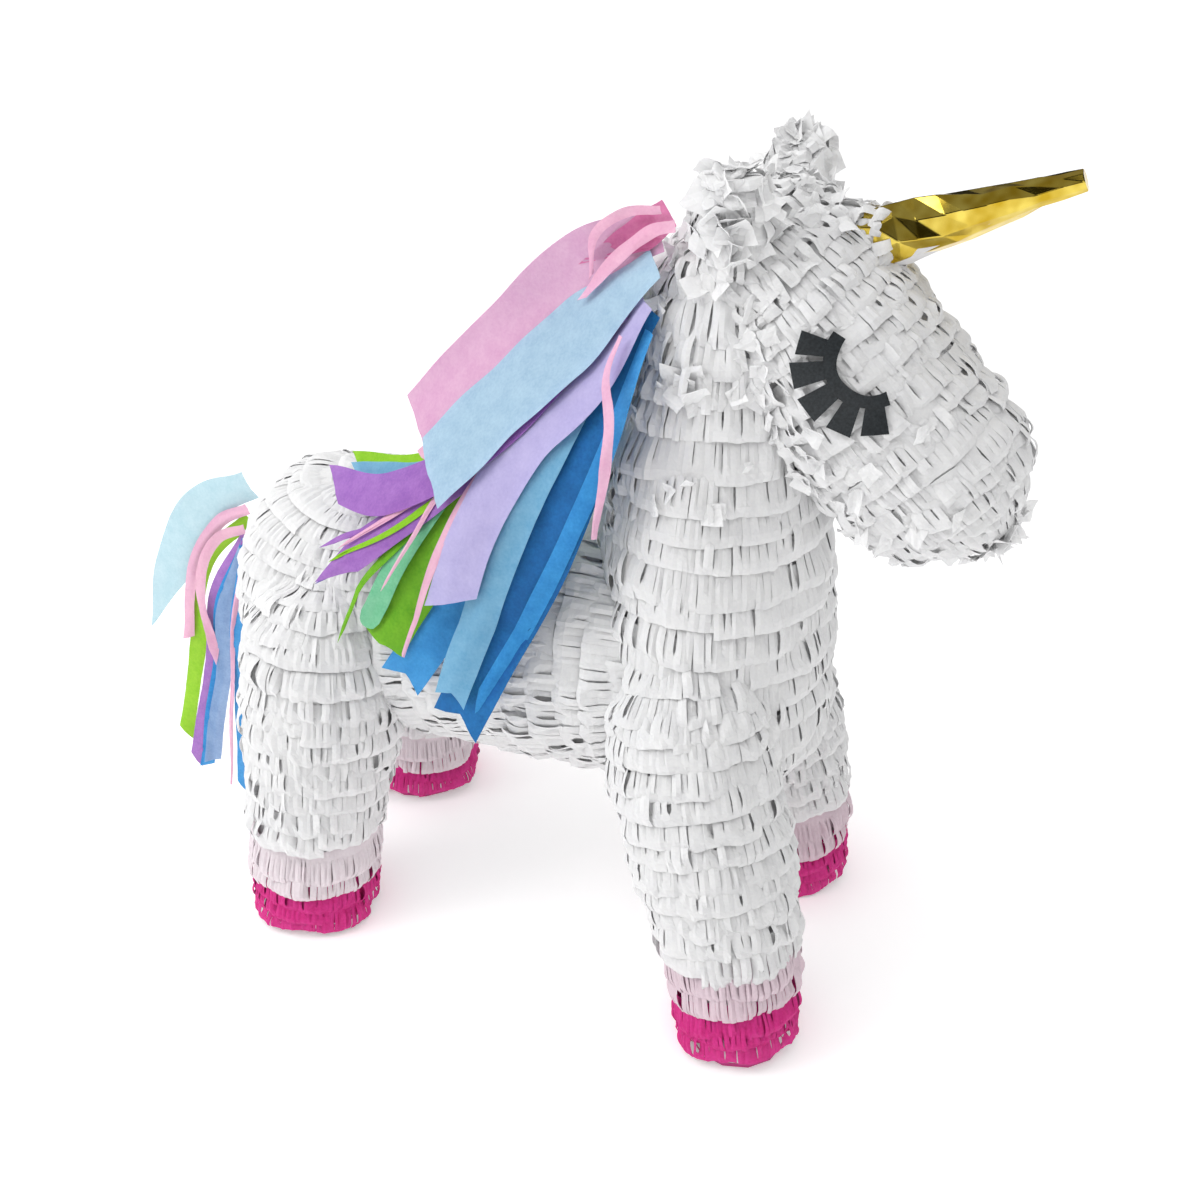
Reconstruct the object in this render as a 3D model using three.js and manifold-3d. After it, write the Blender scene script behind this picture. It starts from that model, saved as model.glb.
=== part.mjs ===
// Unicorn pinata: a hollow body of corrugated card covered with rows of fringed tissue,
// a foil horn, tissue streamers for mane and tail, and a flap on the left flank to fill it by.
// Millimetres, +X to the nose, +Y to the animal's left, +Z up, feet on z = 0.
import * as THREE from 'three';
import { mergeVertices } from 'three/addons/utils/BufferGeometryUtils.js';
import Module from 'manifold-3d';

const wasm = await Module();
wasm.setup();

// ---- driving dimensions ----
const CARD = 4; // wall of the corrugated card shells
const COVER = 8; // depth of the fringed tissue that covers them
const GAP = 0.3; // air left between two glued faces
const FACES = 16; // sides of the body, neck and head
const LIMB_FACES = 12; // sides of the legs
const SMALL_FACES = 8; // sides of the ears and the horn
const SOLE = 2.5; // card disc that closes a leg
const HOOF_LIFT = 1.5; // the hoof's fringe clears the floor by this
const HOOF_TOP = 34;
const BAND_TOP = 58; // pale band above the hoof
const BARREL_Z = 201; // height of the barrel's middle line
const HEAD_PITCH = THREE.MathUtils.degToRad(30); // the head's middle line drops by this
const HORN_PITCH = THREE.MathUtils.degToRad(21.5);
const FOIL = 1.2;
const HORN_CARD = 2;
const EAR_CARD = 1.5; // half the thickness of an ear's card
const LASH = 1.2; // thickness of the black paper eyelash
const LASH_MIDDLE = [192, 414]; // x and z that the eyelash curves round
const LASH_ARC = [23, 31]; // inner and outer radius of its band
const LASH_FROM = THREE.MathUtils.degToRad(155);
const LASH_TO = THREE.MathUtils.degToRad(292);
const LASH_TEETH = { count: 5, first: 183.5, step: 22.5, reach: 41, width: 9.5 };
const EAR_ROOT = 424; // height that an ear's card is shortened from
const EAR_CARD_SHARE = 0.88; // the card's height as a share of its cover's
const STREAMER = 0.7; // thickness that stands for a strip of tissue
const LAYER = 2.2; // from one streamer to the next one over it
const FLAP = { x: [-72, 12], z: [186, 254], clearance: 1 };
const OPEN_END = 30; // how far a hollow runs out past an open end

const X = new THREE.Vector3(1, 0, 0);
const Y = new THREE.Vector3(0, 1, 0);
const Z = new THREE.Vector3(0, 0, 1);

// ---- colours and finishes ----
const tissue = (color) => new THREE.MeshStandardMaterial({ color, roughness: 0.85, metalness: 0 });
const WHITE = tissue(0xf2f2f0);
const PALE_PINK = tissue(0xf0dde4);
const MAGENTA = tissue(0xe0448f);
const BLACK = new THREE.MeshStandardMaterial({ color: 0x1c2024, roughness: 0.5, metalness: 0 });
const KRAFT = new THREE.MeshStandardMaterial({ color: 0xb48a5a, roughness: 0.9, metalness: 0 });
const GOLD = new THREE.MeshStandardMaterial({ color: 0xc9a227, roughness: 0.25, metalness: 1 });

// ---- forms: a lathed skin whose rings are moved on to a middle line ----
// A form is { up, side, rings }, and a ring is [centre, half size along up, half size along side].
// Its first and last rings are poles, where both half sizes are 0.
function offsetRings(rings, grow) {
  const last = rings.length - 1;
  return rings.map(([centre, high, wide], i) => {
    const before = rings[Math.max(i - 1, 0)];
    const after = rings[Math.min(i + 1, last)];
    const run = after[0].clone().sub(before[0]);
    const along = run.clone().normalize();
    if (i === 0 || i === last) {
      return [centre.clone().addScaledVector(along, i === 0 ? -grow : grow), 0, 0];
    }
    const rise = (after[1] + after[2] - before[1] - before[2]) / 2;
    const slope = Math.hypot(run.length(), rise);
    const swell = (grow * run.length()) / slope;
    const shift = (-grow * rise) / slope;
    return [centre.clone().addScaledVector(along, shift), high + swell, wide + swell];
  });
}

function skin(form, grow = 0, faces = FACES) {
  const rings = offsetRings(form.rings, grow);
  const outline = rings.map((ring, i) => new THREE.Vector2(1, i));
  const geometry = new THREE.LatheGeometry(outline, faces);
  const position = geometry.attributes.position;
  const point = new THREE.Vector3();
  for (let i = 0; i < position.count; i++) {
    const [centre, high, wide] = rings[i % rings.length];
    point.copy(centre);
    point.addScaledVector(form.up, high * position.getZ(i));
    point.addScaledVector(form.side, wide * position.getX(i));
    position.setXYZ(i, point.x, point.y, point.z);
  }
  return toSolid(geometry);
}

// ---- solids ----
function signedVolume(positions, triangles) {
  const [a, b, c] = [new THREE.Vector3(), new THREE.Vector3(), new THREE.Vector3()];
  let volume = 0;
  for (let i = 0; i < triangles.length; i += 3) {
    a.fromArray(positions, 3 * triangles[i]);
    b.fromArray(positions, 3 * triangles[i + 1]);
    c.fromArray(positions, 3 * triangles[i + 2]);
    volume += a.dot(b.cross(c)) / 6;
  }
  return volume;
}

function toSolid(geometry) {
  const bare = geometry.clone();
  bare.deleteAttribute('normal');
  bare.deleteAttribute('uv');
  const merged = mergeVertices(bare, 1e-3);
  const corners = merged.index.array;
  const triangles = [];
  for (let i = 0; i < corners.length; i += 3) {
    const [a, b, c] = corners.slice(i, i + 3);
    if (a !== b && b !== c && c !== a) triangles.push(a, b, c);
  }
  const vertProperties = merged.attributes.position.array;
  if (signedVolume(vertProperties, triangles) < 0) triangles.reverse();
  const triVerts = new Uint32Array(triangles);
  return new wasm.Manifold(new wasm.Mesh({ numProp: 3, vertProperties, triVerts }));
}

function toGeometry(solid) {
  const pieces = solid.decompose().sort((a, b) => b.volume() - a.volume());
  const mesh = pieces[0].getMesh();
  const geometry = new THREE.BufferGeometry();
  geometry.setAttribute('position', new THREE.BufferAttribute(mesh.vertProperties, 3));
  geometry.setIndex(new THREE.BufferAttribute(mesh.triVerts, 1));
  geometry.computeVertexNormals();
  return geometry;
}

const cut = (solid, ...tools) => tools.reduce((left, tool) => left.subtract(tool), solid);

function block(low, high) {
  const size = high.map((value, i) => value - low[i]);
  const geometry = new THREE.BoxGeometry(...size);
  geometry.translate(...low.map((value, i) => value + size[i] / 2));
  return toSolid(geometry);
}

const FAR = 400; // past everything
const slab = (low, high) => block([-FAR, -FAR, low], [FAR, FAR, high]);

// ---- the outer forms, over the tissue ----
const at = (x, y, z) => new THREE.Vector3(x, y, z);

const barrel = {
  up: Z,
  side: Y,
  rings: [
    [-208, 0, 0], [-205, 38, 34], [-197, 62, 57], [-182, 80, 72], [-155, 88, 80],
    [-50, 89, 81], [50, 88, 80], [90, 76, 72], [102, 0, 0],
  ].map(([x, high, wide]) => [at(x, 0, BARREL_Z), high, wide]),
};

const neck = {
  up: X,
  side: Y,
  rings: [
    [110, 128, 0, 0], [109, 134, 44, 56], [107, 150, 62, 76], [103, 190, 69, 86], [101, 250, 68, 86],
    [98, 310, 64, 78], [98, 365, 59, 68], [104, 412, 53, 60], [114, 446, 44, 50], [120, 461, 26, 32], [121, 466, 0, 0],
  ].map(([x, z, long, wide]) => [at(x, 0, z), long, wide]),
};

const headForward = at(Math.cos(HEAD_PITCH), 0, -Math.sin(HEAD_PITCH));
const headUp = at(Math.sin(HEAD_PITCH), 0, Math.cos(HEAD_PITCH));
const POLL = at(120, 0, 430);
const headPoint = (along, above) => POLL.clone().addScaledVector(headForward, along).addScaledVector(headUp, above);
const head = {
  up: headUp,
  side: Y,
  rings: [
    [-44, 4, 0, 0], [-38, 4, 24, 26], [-22, 3, 44, 46], [20, -3, 59, 61], [62, -17, 62, 64],
    [100, -28, 59, 60], [130, -33, 56, 55], [150, -34, 50, 48], [167, -32, 34, 36], [178, -36, 18, 20], [184, -39, 0, 0],
  ].map(([along, above, high, wide]) => [headPoint(along, above), high, wide]),
};

// A leg is [x, y, z, radius] from the sole up. Each foot was set down by hand, so it is [x, y] off its
// nominal place, an offset that fades out towards the body.
const LEAN_FADES_AT = 190;
const limb = (rings, hand, foot) => ({
  up: X,
  side: Y,
  rings: rings.map(([x, y, z, radius]) => {
    const share = THREE.MathUtils.clamp(1 - z / LEAN_FADES_AT, 0, 1);
    return [at(x + share * foot[0], hand * y + share * foot[1], z), radius, radius];
  }),
});
const FORELEG = [
  [147, 82, -OPEN_END, 0], [147, 82, -OPEN_END + 4, 35], [147, 82, 0, 36], [145, 81, 12, 38], [143, 80, 34, 39],
  [139, 78, 58, 43], [125, 72, 110, 50], [110, 65, 155, 52], [106, 60, 200, 49], [106, 55, 228, 34], [106, 53, 238, 0],
];
const HINDLEG = [
  [-147, 78, -OPEN_END, 0], [-147, 78, -OPEN_END + 4, 39], [-147, 78, 0, 40], [-147, 78, 12, 42], [-146, 78, 34, 42],
  [-144, 77, 58, 44], [-139, 73, 100, 48], [-133, 67, 150, 53], [-131, 61, 200, 53], [-131, 55, 232, 38], [-131, 52, 246, 0],
];
const legs = [
  { name: 'front_right', form: limb(FORELEG, -1, [5, -14]) },
  { name: 'front_left', form: limb(FORELEG, 1, [-3, -13]) },
  { name: 'rear_right', form: limb(HINDLEG, -1, [4, -4]) },
  { name: 'rear_left', form: limb(HINDLEG, 1, [0, -2]) },
];

// An ear's card is a thinner, narrower and shorter copy of its form: half is half its thickness.
const ear = ({ hand, ahead }, half) => ({
  up: X,
  side: Y,
  rings: [
    [112, 38, 424, 0, 0], [112, 39, 429, 15, 10], [112, 44, 448, 20, 11], [114, 52, 472, 19, 9],
    [116, 58, 488, 15, 6], [116, 60, 495, 0, 0],
  ].map(([x, y, z, long, wide]) => {
    const height = half ? EAR_ROOT + EAR_CARD_SHARE * (z - EAR_ROOT) : z;
    return [at(x + ahead, hand * y, height), half ? long * 0.72 : long, half && long ? half : wide];
  }),
});
const EARS = [
  { name: 'right', hand: -1, ahead: 0 },
  { name: 'left', hand: 1, ahead: 7 },
];

const hornForward = at(Math.cos(HORN_PITCH), 0, Math.sin(HORN_PITCH));
const hornUp = at(-Math.sin(HORN_PITCH), 0, Math.cos(HORN_PITCH));
const HORN_ROOT = at(150, 0, 441);
const horn = {
  up: hornUp,
  side: Y,
  rings: [[-4, 0], [0, 20], [38, 17], [126, 4], [129, 0]]
    .map(([along, radius]) => [HORN_ROOT.clone().addScaledVector(hornForward, along), radius, radius]),
};

// ---- what the tissue leaves for the card, and what it keeps clear of ----
const card = -COVER; // offset from the outer form to the card
const clearOfCard = card + GAP;
const inside = card - CARD;
const barrelClear = skin(barrel, clearOfCard);
const neckClear = skin(neck, clearOfCard);
const headClear = skin(head, clearOfCard);
const barrelAll = skin(barrel, GAP);
const neckAll = skin(neck, GAP);
const headAll = skin(head, GAP);
const legCards = legs.map((leg) => skin(leg.form, clearOfCard, LIMB_FACES));
const hornClear = skin(horn, GAP, SMALL_FACES);
const earCards = EARS.map((one) => skin(ear(one, EAR_CARD + GAP), GAP, SMALL_FACES));

const doorway = block([FLAP.x[0], 0, FLAP.z[0]], [FLAP.x[1], FAR, FLAP.z[1]]);
const door = block(
  [FLAP.x[0] + FLAP.clearance, 0, FLAP.z[0] + FLAP.clearance],
  [FLAP.x[1] - FLAP.clearance, FAR, FLAP.z[1] - FLAP.clearance],
);

// ---- the parts ----
const pinata = new THREE.Group();

function add(name, solid, material) {
  const mesh = new THREE.Mesh(toGeometry(solid), material);
  mesh.name = name;
  pinata.add(mesh);
}

function addBody() {
  const shell = cut(skin(barrel, card), skin(barrel, inside));
  const cover = cut(skin(barrel), barrelClear);
  add('body_shell', cut(shell, doorway), KRAFT);
  add('body_fringe', cut(cover, neckAll, ...legCards, doorway), WHITE);
  add('fill_flap', shell.intersect(door), KRAFT);
  add('fill_flap_fringe', cover.intersect(door), WHITE);
}

function addNeckAndHead() {
  add('neck_shell', cut(skin(neck, card), skin(neck, inside), barrelClear), KRAFT);
  add('neck_fringe', cut(skin(neck), neckClear, headAll, barrelClear, ...legCards, ...earCards), WHITE);
  add('head_shell', cut(skin(head, card), skin(head, inside), neckClear), KRAFT);
  add('head_fringe', cut(skin(head), headClear, neckClear, hornClear, ...earCards), WHITE);
}

function addLegs() {
  legs.forEach(({ name, form }) => {
    const outer = skin(form, 0, LIMB_FACES);
    const wrap = cut(outer, skin(form, clearOfCard, LIMB_FACES), barrelAll, neckAll);
    const tube = cut(skin(form, card, LIMB_FACES), skin(form, inside, LIMB_FACES), barrelClear, neckClear);
    add(`${name}_leg_tube`, tube.intersect(slab(SOLE + GAP, FAR)), KRAFT);
    add(`${name}_sole`, skin(form, card, LIMB_FACES).intersect(slab(0, SOLE)), KRAFT);
    add(`${name}_leg_fringe`, wrap.intersect(slab(BAND_TOP, FAR)), WHITE);
    add(`${name}_pale_band`, wrap.intersect(slab(HOOF_TOP, BAND_TOP - GAP)), PALE_PINK);
    add(`${name}_hoof_fringe`, wrap.intersect(slab(HOOF_LIFT, HOOF_TOP - GAP)), MAGENTA);
  });
}

function addEars() {
  EARS.forEach((one, i) => {
    const cardForm = skin(ear(one, EAR_CARD), 0, SMALL_FACES);
    add(`${one.name}_ear_card`, cut(cardForm, headClear, neckClear), KRAFT);
    add(`${one.name}_ear_fringe`, cut(skin(ear(one), 0, SMALL_FACES), earCards[i], headAll, neckAll), WHITE);
  });
}

function addHorn() {
  const foil = cut(skin(horn, 0, SMALL_FACES), skin(horn, -FOIL, SMALL_FACES));
  const cone = cut(skin(horn, -FOIL - GAP, SMALL_FACES), skin(horn, -FOIL - GAP - HORN_CARD, SMALL_FACES));
  add('horn_cone', cut(cone, headClear), KRAFT);
  add('horn_foil', cut(foil, headClear), GOLD);
}

// ---- eyelashes: black paper that lies on the tissue, a band round a middle with square teeth ----
function lashOutline() {
  const [inner, outer] = LASH_ARC;
  const band = new THREE.Shape();
  band.absarc(...LASH_MIDDLE, outer, LASH_FROM, LASH_TO, false);
  band.absarc(...LASH_MIDDLE, inner, LASH_TO, LASH_FROM, true);
  const teeth = Array.from({ length: LASH_TEETH.count }, (_, i) => {
    const angle = THREE.MathUtils.degToRad(LASH_TEETH.first + i * LASH_TEETH.step);
    const along = new THREE.Vector2(Math.cos(angle), Math.sin(angle));
    const half = new THREE.Vector2(-along.y, along.x).multiplyScalar(LASH_TEETH.width / 2);
    const root = new THREE.Vector2(...LASH_MIDDLE).addScaledVector(along, (inner + outer) / 2);
    const tip = new THREE.Vector2(...LASH_MIDDLE).addScaledVector(along, LASH_TEETH.reach);
    return new THREE.Shape([root.clone().add(half), tip.clone().add(half), tip.clone().sub(half), root.clone().sub(half)]);
  });
  return [band, ...teeth];
}

function addEyelashes() {
  const layer = cut(skin(head, GAP + LASH), headAll, neckAll);
  EARS.forEach(({ name, hand }) => {
    const prisms = lashOutline().map((shape) => {
      const prism = new THREE.ExtrudeGeometry(shape, { depth: FAR, bevelEnabled: false, curveSegments: 8 });
      prism.rotateX(Math.PI / 2);
      prism.translate(0, hand > 0 ? FAR : 0, 0);
      return toSolid(prism);
    });
    const lash = prisms.reduce((whole, prism) => whole.add(prism));
    add(`${name}_eyelash`, layer.intersect(lash), BLACK);
  });
}

// ---- streamers: strips of tissue, each a thin band along a line of [x, z] points ----
// Mane strips lie in sheets that drape over the right of the neck and the back, one LAYER apart.
const RIDGE = { height: 403, rise: 0.765 }; // the sheets' upper edge, by its height at x = 0
const DRAPE = { top: 20, side: 80, from: -10, to: 100, backClearance: 90 };

function drape(x, z) {
  const below = RIDGE.height + RIDGE.rise * x - z;
  const fall = THREE.MathUtils.smoothstep(below, DRAPE.from, DRAPE.to);
  const besideNeck = THREE.MathUtils.lerp(DRAPE.top, DRAPE.side, fall);
  const rise = THREE.MathUtils.clamp((z - BARREL_Z) / DRAPE.backClearance, 0, 1);
  const besideBack = DRAPE.backClearance * Math.sqrt(1 - rise * rise);
  return -Math.max(besideNeck, besideBack);
}
const TAIL_SIDE = -8; // y of the innermost tail strip
const hang = () => TAIL_SIDE;

// A box's opposite sides are split along opposite diagonals, so on a twisted strip they would cross.
// This turns the diagonals of one side to lie under the other side's.
function matchDiagonals(side, corners) {
  for (let i = side.start; i < side.start + side.count; i += 6) {
    const [a, b, d, , c] = corners.slice(i, i + 5);
    corners.set([a, b, c, a, c, d], i);
  }
}

function streamer(name, color, sheet, layer, width, line) {
  const curve = new THREE.CatmullRomCurve3(line.map(([x, z]) => at(x, 0, z)));
  const geometry = new THREE.BoxGeometry(1, 1, 1, 3, 1, 12);
  const position = geometry.attributes.position;
  for (let i = 0; i < position.count; i++) {
    const along = position.getZ(i) + 0.5;
    const point = curve.getPoint(along);
    const tangent = curve.getTangent(along);
    point.addScaledVector(at(-tangent.z, 0, tangent.x), width * position.getX(i));
    const y = sheet(point.x, point.z) - layer * LAYER + STREAMER * position.getY(i);
    position.setXYZ(i, point.x, y, point.z);
  }
  matchDiagonals(geometry.groups[3], geometry.index.array);
  add(name, toSolid(geometry), tissue(color));
}

function addMane() {
  const strips = [
    ['blue_tip', 0x3f86bf, 0, 26, [[64, 414], [33, 352], [-13, 271], [-64, 193]]],
    ['green_wide', 0x6fb52c, 2, 30, [[62, 418], [5, 352], [-37, 281], [-72, 220]]],
    ['lime', 0x86c832, 1, 11, [[60, 428], [1, 366], [-58, 317], [-123, 298]]],
    ['deep_blue', 0x2d5f96, 3, 32, [[72, 421], [55, 376], [31, 310], [1, 239], [-30, 176]]],
    ['mint', 0x9ed8a8, 4, 14, [[63, 420], [-9, 348], [-52, 288], [-81, 229]]],
    ['pale_blue', 0x8fc3dc, 5, 26, [[71, 417], [44, 361], [14, 297], [-11, 233], [-24, 195]]],
    ['purple_fan', 0x9b6ab8, 6, 18, [[64, 421], [-5, 343], [-60, 294], [-114, 250]]],
    ['lavender', 0xc5bfe6, 7, 24, [[74, 427], [45, 388], [6, 347], [-15, 292], [-37, 243]]],
    ['purple', 0xae7dbb, 8, 18, [[62, 420], [-5, 348], [-73, 303], [-130, 291]]],
    ['pink_wide', 0xd9b0cb, 9, 36, [[74, 458], [39, 435], [-7, 397], [-44, 365], [-77, 329]]],
    ['rose_thin', 0xf0bcd2, 9, 7, [[66, 417], [4, 347], [-32, 284], [-52, 221]]],
    ['sky_wide', 0xa6c4dd, 10, 36, [[76, 442], [53, 414], [13, 385], [-22, 354], [-53, 322]]],
    ['pink_hanging', 0xf0bcd2, 11, 5, [[66, 411], [63, 394], [71, 370], [66, 316]]],
    ['pink_curl', 0xf3c3d6, 12, 7, [[77, 468], [58, 465], [42, 452], [39, 429]]],
  ];
  strips.forEach(([name, color, layer, width, line]) => {
    streamer(`mane_${name}`, color, drape, layer, width, line);
  });
}

function addTail() {
  const strips = [
    ['cyan_wide', 0xb6d8e2, 0, 32, [[-212, 262], [-247, 243], [-277, 200], [-299, 130]]],
    ['lime', 0x96cb21, 1, 12, [[-215, 238], [-252, 202], [-270, 137], [-292, 52]]],
    ['pink', 0xf2c6d4, 2, 9, [[-214, 246], [-240, 231], [-262, 196], [-277, 135]]],
    ['purple', 0x8a63ad, 3, 11, [[-216, 228], [-243, 180], [-263, 101], [-285, 32]]],
    ['slate_blue', 0x7f9cc4, 4, 12, [[-217, 218], [-238, 166], [-251, 105], [-270, 35]]],
    ['long_blue', 0x4387c0, 5, 14, [[-215, 208], [-227, 152], [-235, 78], [-241, 18]]],
  ];
  strips.forEach(([name, color, layer, width, line]) => {
    streamer(`tail_${name}`, color, hang, layer, width, line);
  });
}

addBody();
addNeckAndHead();
addLegs();
addEars();
addHorn();
addEyelashes();
addMane();
addTail();

// ---- the origin is under the middle of the whole, on the floor ----
const bounds = new THREE.Box3().setFromObject(pinata);
const middle = bounds.getCenter(new THREE.Vector3());
pinata.position.set(-middle.x, -middle.y, -bounds.min.z);

export default pinata;
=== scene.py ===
"""Unicorn pinata: card forms covered with rows of slit tissue, tissue streamers and a foil horn."""

import math

import bpy
import numpy as np
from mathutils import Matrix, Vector
from mathutils.bvhtree import BVHTree


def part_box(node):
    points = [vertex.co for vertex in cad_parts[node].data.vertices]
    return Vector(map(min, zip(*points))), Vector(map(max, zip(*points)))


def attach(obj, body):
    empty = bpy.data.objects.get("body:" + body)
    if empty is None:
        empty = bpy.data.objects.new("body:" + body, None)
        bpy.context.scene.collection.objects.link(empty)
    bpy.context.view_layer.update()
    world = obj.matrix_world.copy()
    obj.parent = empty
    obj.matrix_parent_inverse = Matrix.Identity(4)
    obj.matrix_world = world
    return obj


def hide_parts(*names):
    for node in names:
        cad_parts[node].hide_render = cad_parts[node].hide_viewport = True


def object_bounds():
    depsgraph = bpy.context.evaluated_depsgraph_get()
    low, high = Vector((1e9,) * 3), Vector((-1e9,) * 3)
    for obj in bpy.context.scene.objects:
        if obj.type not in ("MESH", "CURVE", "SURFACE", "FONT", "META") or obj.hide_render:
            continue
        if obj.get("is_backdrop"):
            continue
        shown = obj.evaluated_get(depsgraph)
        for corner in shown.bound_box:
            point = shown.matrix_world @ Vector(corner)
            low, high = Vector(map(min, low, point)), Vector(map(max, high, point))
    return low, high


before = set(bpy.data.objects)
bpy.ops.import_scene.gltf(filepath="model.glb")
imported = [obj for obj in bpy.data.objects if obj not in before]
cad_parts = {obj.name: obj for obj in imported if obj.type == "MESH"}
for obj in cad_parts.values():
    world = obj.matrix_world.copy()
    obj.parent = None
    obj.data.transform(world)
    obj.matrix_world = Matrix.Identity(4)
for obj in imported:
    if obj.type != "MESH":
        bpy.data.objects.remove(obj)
CAD_LOW, CAD_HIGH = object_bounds()

# ---- places
MM = 0.001
SIDES = {"right": -1, "left": 1}
LEGS = ("front_right", "front_left", "rear_right", "rear_left")

# The card part's own measure has its zero under the barrel, so every place below is in
# millimetres from there, and place() moves it to the frame.
BARREL_MIDDLE_X = -53
BARREL_Z = 201
shell_low, shell_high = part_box("body_shell")
ZERO = Vector(((shell_low.x + shell_high.x) / 2 - BARREL_MIDDLE_X * MM, (shell_low.y + shell_high.y) / 2, 0))


def place(x, y, z):
    """A point in millimetres from the part's zero, as metres in the frame."""
    return np.array((x, y, z), float) * MM + np.array(ZERO)


# ---- camera
camera_data = bpy.data.cameras.new("camera")
camera_data.lens = 42
camera_data.sensor_width = 36
camera = bpy.data.objects.new("camera", camera_data)
camera.location = Vector(place(300, -700, 620))
camera.rotation_euler = (math.radians(62), 0, math.radians(21.3))
bpy.context.scene.collection.objects.link(camera)
bpy.context.scene.camera = camera


# ---- materials
def linear(hex_colour):
    """An sRGB hex colour as linear RGBA."""
    parts = [(hex_colour >> shift & 255) / 255 for shift in (16, 8, 0)]
    return tuple(c / 12.92 if c <= 0.04045 else ((c + 0.055) / 1.055) ** 2.4 for c in parts) + (1,)


def add_node(tree, kind, settings=None, inputs=None):
    """One shader node: settings are its own fields, inputs are values or sockets to link from."""
    node = tree.nodes.new(f"ShaderNode{kind}")
    for key, value in (settings or {}).items():
        setattr(node, key, value)
    for key, value in (inputs or {}).items():
        if isinstance(value, bpy.types.NodeSocket):
            tree.links.new(value, node.inputs[key])
        else:
            node.inputs[key].default_value = value
    return node


def new_material(name, shader_inputs):
    material = bpy.data.materials.new(name)
    material.use_nodes = True
    tree = material.node_tree
    shader = tree.nodes["Principled BSDF"]
    for key, value in shader_inputs.items():
        shader.inputs[key].default_value = value
    return material, tree, shader


def two_tone(tree, factor, low, high, dark, light):
    """A colour that goes from dark to light as factor goes from low to high."""
    ramp = add_node(tree, "ValToRGB", inputs={"Fac": factor})
    ramp.color_ramp.elements[0].position = low
    ramp.color_ramp.elements[1].position = high
    ramp.color_ramp.elements[0].color = linear(dark)
    ramp.color_ramp.elements[1].color = linear(light)
    return ramp.outputs["Color"]


def noise(tree, where, size, detail, distortion=0.0):
    """Cloudy noise whose patches are size across."""
    inputs = {"Vector": where, "Scale": 1 / size, "Detail": detail, "Distortion": distortion}
    return add_node(tree, "TexNoise", inputs=inputs).outputs["Fac"]


def bump(tree, height, strength, distance, under=None):
    """The surface's direction after a bump of this height, on top of another where under is given."""
    inputs = {"Strength": strength, "Distance": distance, "Height": height}
    if under is not None:
        inputs["Normal"] = under
    return add_node(tree, "Bump", inputs=inputs).outputs["Normal"]


def tissue_paper(name, shade, body):
    """Tissue paper, thin dyed sheet that was pressed and creased: matt, mottled where the fibres
    bunch, with fine wrinkles, and it lets a little light through. shade is the colour where it is
    thicker, body where it is thin."""
    material, tree, shader = new_material(name, {
        "Roughness": 0.78, "Specular IOR Level": 0.3, "Subsurface Weight": 0.28,
        "Subsurface Scale": 2.5 * MM, "Subsurface Radius": (1.0, 1.0, 1.0),
    })
    where = add_node(tree, "TexCoord").outputs["Object"]
    # clouds of fibre about 9 mm across, and a grain of 1.6 mm that stands for the finer real one
    clouds = noise(tree, where, 9 * MM, 4.0)
    grain = noise(tree, where, 1.6 * MM, 3.0)
    mottle = add_node(tree, "Mix", {"data_type": "FLOAT"}, {0: 0.45, 2: clouds, 3: grain})
    tree.links.new(two_tone(tree, mottle.outputs[0], 0.22, 0.78, shade, body), shader.inputs["Base Color"])
    wrinkles = noise(tree, where, 3.5 * MM, 5.0, 0.6)
    tree.links.new(bump(tree, wrinkles, 0.5, 0.5 * MM), shader.inputs["Normal"])
    return material


def gold_foil():
    """Metallised polyester gift film, rolled by hand into a cone: a mirror-like yellow metal with
    small hard crumples."""
    material, tree, shader = new_material("gold_gift_foil", {"Metallic": 1.0, "Roughness": 0.16})
    where = add_node(tree, "TexCoord").outputs["Object"]
    dents = add_node(
        tree, "TexVoronoi", {"feature": "SMOOTH_F1"}, {"Vector": where, "Scale": 1 / (11 * MM)}
    )
    soft = noise(tree, where, 9 * MM, 1.0)
    tree.links.new(two_tone(tree, soft, 0.3, 0.7, 0xC2A02A, 0xE8D062), shader.inputs["Base Color"])
    dented = bump(tree, dents.outputs["Distance"], 0.35, 1.0 * MM)
    tree.links.new(bump(tree, soft, 0.1, 0.5 * MM, dented), shader.inputs["Normal"])
    return material


def black_paper():
    """Black sugar paper with a light calendered gloss, cut by hand."""
    material, tree, shader = new_material("black_paper", {"Roughness": 0.5, "Specular IOR Level": 0.5})
    where = add_node(tree, "TexCoord").outputs["Object"]
    fibres = noise(tree, where, 1.2 * MM, 4.0)
    tree.links.new(two_tone(tree, fibres, 0.3, 0.75, 0x14181B, 0x2C3236), shader.inputs["Base Color"])
    tree.links.new(bump(tree, fibres, 0.2, 0.2 * MM), shader.inputs["Normal"])
    return material


FLUTE = 7 * MM
WAVE_RATE = 20  # a wave texture turns this many radians in each metre, at scale 1


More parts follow.
